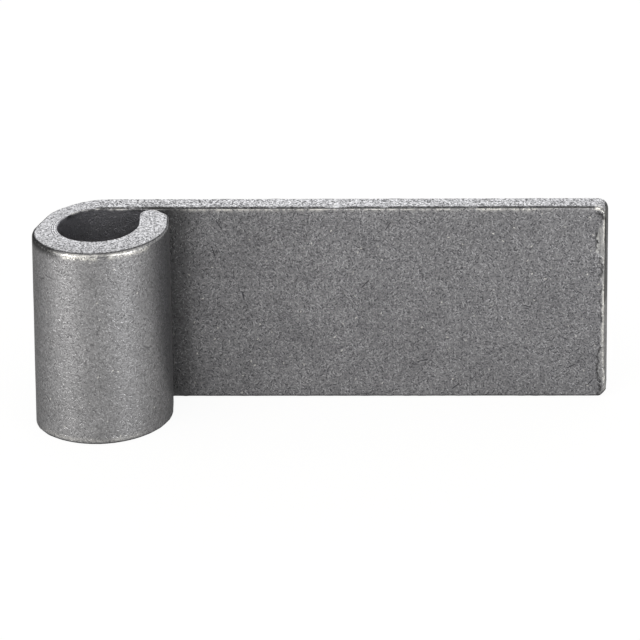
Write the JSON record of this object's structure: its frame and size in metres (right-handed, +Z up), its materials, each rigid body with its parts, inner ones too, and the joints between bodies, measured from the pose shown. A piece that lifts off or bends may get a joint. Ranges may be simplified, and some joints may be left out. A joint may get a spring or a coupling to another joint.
{
  "type": "weld-on hinge leaf",
  "caption": "Hinge leaf of flat steel bar, one end rolled into an eye that turns on a hinge pin, the straight strap welded to a gate or door frame.",
  "frame": {"origin": "on the pin axis, at the lower edge of the bar, on which the leaf stands", "axes": "+Z up along the pin axis, +X along the strap to its free end, +Y out of the strap's weld face"},
  "size_m": [0.1103, 0.0264, 0.04],
  "materials": {
    "bare_steel": "bare mill-finish steel, fine grained and tumbled, with pale sheared edges"
  },
  "bodies": {
    "root": {"hinge_strap": "bare_steel"}
  },
  "joints": []
}
